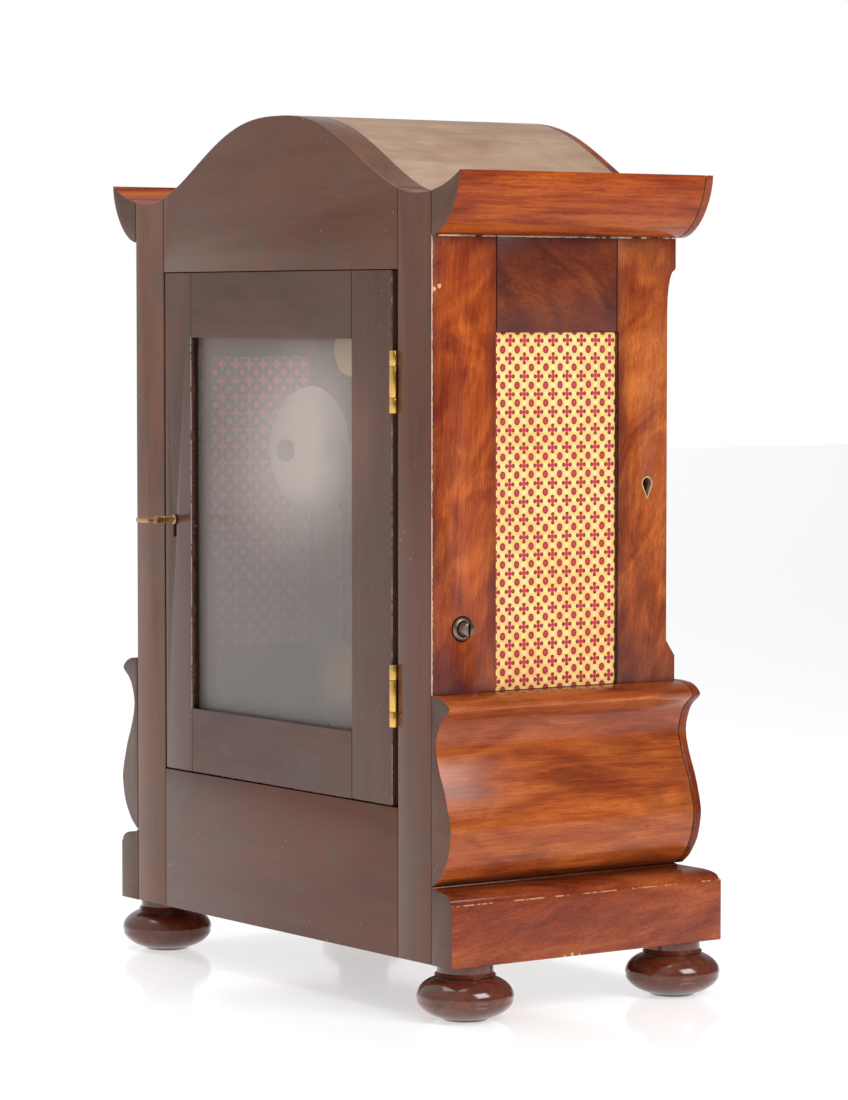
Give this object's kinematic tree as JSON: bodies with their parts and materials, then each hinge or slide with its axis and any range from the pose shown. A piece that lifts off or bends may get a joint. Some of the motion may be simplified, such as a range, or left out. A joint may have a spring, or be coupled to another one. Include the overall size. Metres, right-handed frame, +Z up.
{
  "type": "mantel clock",
  "caption": "Table clock in a mahogany case with a serpentine roof, glazed doors, cloth sides, ogee base and bun feet, holding a pendulum movement that strikes a bell.",
  "frame": {"origin": "under the middle of the overall box, at floor level", "axes": "+X to the right seen from the dial side, -Y towards the dial (front), +Z up"},
  "size_m": [0.3506, 0.2104, 0.48],
  "materials": {
    "mahogany_polished": "french polished, glossy",
    "mahogany_back": "dull old polish",
    "mahogany_foot": "glossy dark polish",
    "side_cloth": "printed cotton",
    "brass": "aged, lightly tarnished",
    "steel": "dark, lightly rusted",
    "bell_metal": "silvered, dull",
    "glass": "clear old sheet glass",
    "enamel": "glossy white enamel"
  },
  "bodies": {
    "case": {"back_post_left": "mahogany_polished", "back_post_right": "mahogany_polished", "front_post_left": "mahogany_polished", "front_post_right": "mahogany_polished", "back_gable": "mahogany_back", "back_bottom_rail": "mahogany_back", "bottom_board": "mahogany_back", "front_top_rail": "mahogany_polished", "side_top_rail_left": "mahogany_polished", "side_top_rail_right": "mahogany_polished", "side_lower_panel_left": "mahogany_polished", "side_lower_panel_right": "mahogany_polished", "cloth_panel_left": "side_cloth", "cloth_panel_right": "side_cloth", "cornice_left": "mahogany_polished", "cornice_right": "mahogany_polished", "ogee_moulding_left": "mahogany_polished", "ogee_moulding_right": "mahogany_polished", "plinth_left": "mahogany_polished", "plinth_right": "mahogany_polished", "plinth_front": "mahogany_polished", "base_front_board": "mahogany_polished", "front_gable": "mahogany_polished", "roof_board": "mahogany_back", "foot_back_left": "mahogany_foot", "foot_back_right": "mahogany_foot", "foot_front_left": "mahogany_foot", "foot_front_right": "mahogany_foot", "back_hinge_upper_case_leaf": "brass", "back_hinge_lower_case_leaf": "brass", "dial_mask": "mahogany_back", "dial": "enamel", "side_keyhole_liner": "brass", "movement_back_plate": "brass", "movement_front_plate": "brass", "bell": "bell_metal", "bell_standard": "steel", "stud_bush": "steel"},
    "back_door": {"back_door_lock_stile": "mahogany_back", "back_door_hinge_stile": "mahogany_back", "back_door_top_rail": "mahogany_back", "back_door_bottom_rail": "mahogany_back", "back_door_glass": "glass", "back_lock_case": "brass", "back_hinge_upper_door_leaf": "brass", "back_hinge_lower_door_leaf": "brass"},
    "back_bolt": {"back_lock_bolt": "brass"},
    "key": {"key": "brass"},
    "front_door": {"front_door_frame": "mahogany_polished", "front_door_glass": "glass"},
    "side_bolt": {"side_lock_bolt": "steel"},
    "minute": {"minute_hand": "steel"},
    "hour": {"hour_hand": "steel"},
    "going_drum": {"going_barrel": "brass"},
    "strike_drum": {"strike_barrel": "brass"},
    "hammer": {"bell_hammer": "steel"},
    "pendulum": {"pendulum_rod": "steel", "pendulum_bob": "brass", "crutch": "steel"},
    "stud": {"repeat_stud": "steel"}
  },
  "joints": [
    {"name": "back_door_swing", "type": "hinge", "parent": "case", "child": "back_door", "pos_m": [-0.1143, 0.0821, 0.2526], "axis": [0, 0, 1], "range_deg": [0, 105]},
    {"name": "key_turn", "type": "hinge", "parent": "back_door", "child": "key", "pos_m": [0.1057, 0.0815, 0.2542], "axis": [0, 1, 0], "range_deg": [0, 90]},
    {"name": "back_bolt_slide", "type": "slide", "parent": "back_door", "child": "back_bolt", "axis": [1, 0, 0], "range_m": [0, 0.005]},
    {"name": "front_door_swing", "type": "hinge", "parent": "case", "child": "front_door", "pos_m": [0.114, -0.0742, 0.279], "axis": [0, 0, 1], "range_deg": [0, 95]},
    {"name": "side_bolt_slide", "type": "slide", "parent": "case", "child": "side_bolt", "axis": [1, 0, 0], "range_m": [0, 0.005]},
    {"name": "minute_turn", "type": "hinge", "parent": "case", "child": "minute", "pos_m": [0, -0.0505, 0.2785], "axis": [0, 1, 0], "continuous": true},
    {"name": "hour_turn", "type": "hinge", "parent": "case", "child": "hour", "pos_m": [0, -0.0505, 0.2785], "axis": [0, 1, 0], "continuous": true},
    {"name": "going_barrel_wind", "type": "hinge", "parent": "case", "child": "going_drum", "pos_m": [-0.03, 0.0015, 0.2615], "axis": [0, 1, 0], "continuous": true},
    {"name": "strike_barrel_wind", "type": "hinge", "parent": "case", "child": "strike_drum", "pos_m": [0.03, 0.0015, 0.2615], "axis": [0, 1, 0], "continuous": true},
    {"name": "hammer_lift", "type": "hinge", "parent": "case", "child": "hammer", "pos_m": [-0.034, 0.0515, 0.244], "axis": [0, 1, 0], "range_deg": [-20, 0], "stiffness_Nm_per_rad": 0.02, "springref_deg": 2.86},
    {"name": "pendulum_swing", "type": "hinge", "parent": "case", "child": "pendulum", "pos_m": [0, 0.0385, 0.3425], "axis": [0, 1, 0], "range_deg": [-3, 3]},
    {"name": "stud_push", "type": "slide", "parent": "case", "child": "stud", "axis": [1, 0, 0], "range_m": [0, 0.004], "stiffness_N_per_m": 300, "springref_m": -0.002}
  ],
  "couplings": [
    {"joint": "hour_turn", "follows": "minute_turn", "ratio": 0.083333},
    {"joint": "back_bolt_slide", "follows": "key_turn", "m_per_rad": 0.00318}
  ]
}
